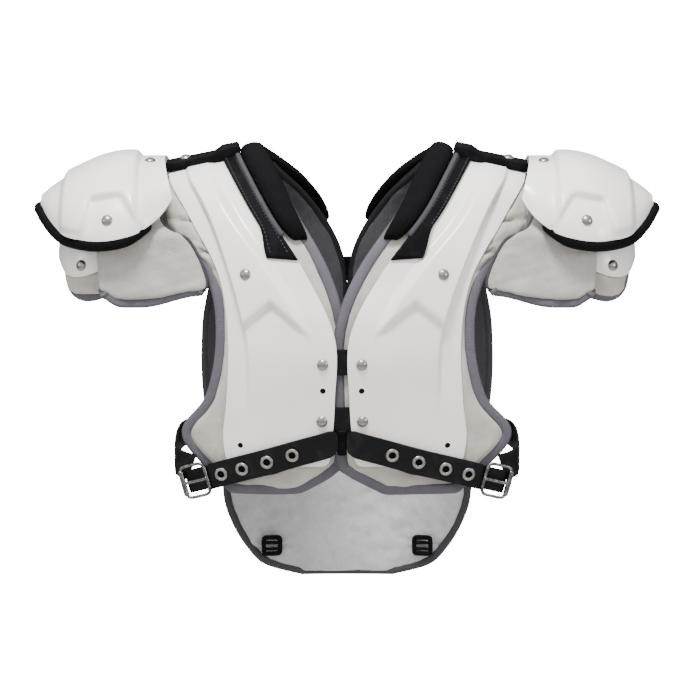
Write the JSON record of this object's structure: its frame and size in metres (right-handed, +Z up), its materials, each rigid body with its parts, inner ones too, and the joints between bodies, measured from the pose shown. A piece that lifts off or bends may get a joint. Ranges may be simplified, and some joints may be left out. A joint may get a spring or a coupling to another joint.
{
  "type": "football shoulder pad",
  "caption": "Worn shoulder pad: two hard white arch plates over padded halves, with shoulder caps, arm cups, neck cushions, buckled chest belts and a lower back pad.",
  "frame": {"origin": "between the shoulders in the middle of the neck opening, at the height where the padding rests on the wearer", "axes": "+Z up, front of the chest towards -Y, left and right as seen from the front, +X to the right"},
  "size_m": [0.629, 0.2568, 0.4557],
  "materials": {
    "white_plastic": "smooth moulded off-white plastic, satin gloss",
    "beige_cloth": "coated nylon cloth over foam, soft matt",
    "grey_cloth": "light grey coated nylon cloth, soft matt",
    "black_cloth": "black knitted cloth over foam, matt",
    "black_plastic": "black moulded plastic, satin",
    "black_strap": "coated webbing, satin",
    "steel": "nickel-plated steel, polished"
  },
  "bodies": {
    "root": {"arch_plate_left": "white_plastic", "body_pad_left": "beige_cloth", "neck_pad_left": "black_cloth", "neck_trim_left": "black_plastic", "shoulder_bar_left": "black_plastic", "shoulder_cap_left": "white_plastic", "cap_pad_left": "black_cloth", "arm_cup_left": "white_plastic", "arm_pad_left": "beige_cloth", "shoulder_flap_left": "grey_cloth", "belt_left": "black_strap", "buckle_left": "steel", "side_strap_left": "black_strap", "back_clip_left": "black_plastic", "grommet_left_1": "steel", "grommet_left_2": "steel", "grommet_left_3": "steel", "grommet_left_4": "steel", "rivet_rib_left": "steel", "rivet_chest_upper_left": "steel", "rivet_chest_lower_left": "steel", "rivet_cap_top_left": "steel", "rivet_cap_front_left": "steel", "rivet_arm_cup_left": "steel", "rivet_bar_left": "steel", "arch_plate_right": "white_plastic", "body_pad_right": "beige_cloth", "neck_pad_right": "black_cloth", "neck_trim_right": "black_plastic", "shoulder_bar_right": "black_plastic", "shoulder_cap_right": "white_plastic", "cap_pad_right": "black_cloth", "arm_cup_right": "white_plastic", "arm_pad_right": "beige_cloth", "shoulder_flap_right": "grey_cloth", "belt_right": "black_strap", "buckle_right": "steel", "side_strap_right": "black_strap", "back_clip_right": "black_plastic", "grommet_right_1": "steel", "grommet_right_2": "steel", "grommet_right_3": "steel", "grommet_right_4": "steel", "rivet_rib_right": "steel", "rivet_chest_upper_right": "steel", "rivet_chest_lower_right": "steel", "rivet_cap_top_right": "steel", "rivet_cap_front_right": "steel", "rivet_arm_cup_right": "steel", "rivet_bar_right": "steel", "back_pad": "grey_cloth", "neck_patch": "black_cloth", "chest_web_upper": "black_strap", "chest_web_lower": "black_strap", "back_web_upper": "black_strap", "back_web_lower": "black_strap", "chest_hook": "black_plastic"}
  },
  "joints": []
}
